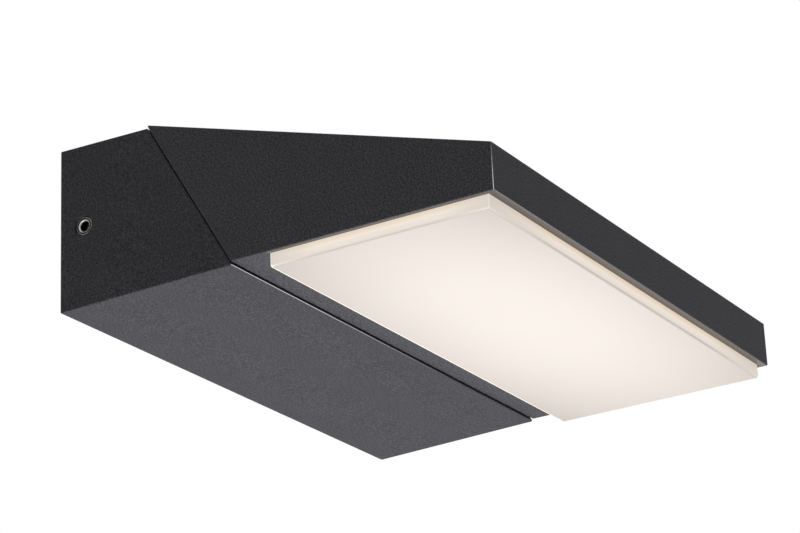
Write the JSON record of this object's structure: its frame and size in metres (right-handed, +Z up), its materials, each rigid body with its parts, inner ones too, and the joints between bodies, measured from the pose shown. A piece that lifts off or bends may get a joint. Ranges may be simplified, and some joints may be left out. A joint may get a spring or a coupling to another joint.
{
  "type": "outdoor wall light",
  "caption": "Wedge-shaped wall light: a boxy wall base with a slanted split and a tilting head that carries a flat opal light panel underneath.",
  "frame": {"origin": "on the wall plane, at the centre of the base's back and of its slotted wall screw holes", "axes": "+Z up, +Y into the wall, so the light reaches out along -Y; +X along the wall, to the right as seen from in front of the wall"},
  "size_m": [0.26, 0.2117, 0.0788],
  "materials": {
    "coated_casting": "fine-texture anthracite powder coat",
    "opal": "satin opal, lit from inside",
    "bare_aluminium": "bare sheet",
    "zinc_steel": "zinc plated",
    "stainless": "plain stainless",
    "brass": "plain",
    "black_rubber": "matt",
    "grey_foam": "closed-cell foam",
    "fibre": "friction fibre",
    "white_board": "white solder mask",
    "led_yellow": "phosphor",
    "white_plastic": "moulded",
    "black_plastic": "moulded",
    "lead_sheath": "smooth sheath"
  },
  "bodies": {
    "base": {"base_housing": "coated_casting", "wall_gasket": "grey_foam", "wall_bracket": "zinc_steel", "bracket_nuts": "zinc_steel", "side_screws": "stainless", "cable_grommet": "black_rubber", "terminal_block": "white_plastic", "terminal_screws": "brass", "block_screws": "stainless", "earth_washer": "zinc_steel", "earth_screw": "brass", "led_driver": "white_plastic", "driver_screws": "stainless", "hinge_pins": "stainless", "friction_washers": "fibre", "spring_washers": "stainless", "hinge_nuts": "stainless", "stop_bumpers": "black_rubber", "base_grommet": "black_rubber", "led_lead": "lead_sheath"},
    "head": {"head_housing": "coated_casting", "hinge_arm_left": "coated_casting", "hinge_arm_right": "coated_casting", "arm_screws": "stainless", "heat_spreader": "bare_aluminium", "spreader_screws": "stainless", "front_clips": "stainless", "clip_screws": "stainless", "led_board": "white_board", "leds": "led_yellow", "board_screws": "stainless", "diffuser": "opal", "diffuser_gasket": "black_rubber", "diffuser_screws": "stainless", "head_grommet": "black_rubber", "lead_plug": "white_plastic"}
  },
  "joints": [
    {"name": "head_tilt", "type": "hinge", "parent": "base", "child": "head", "pos_m": [0, -0.02778, 0.02849], "axis": [-1, 0, 0], "range_deg": [0, 45], "deforming": ["led_lead"]}
  ]
}
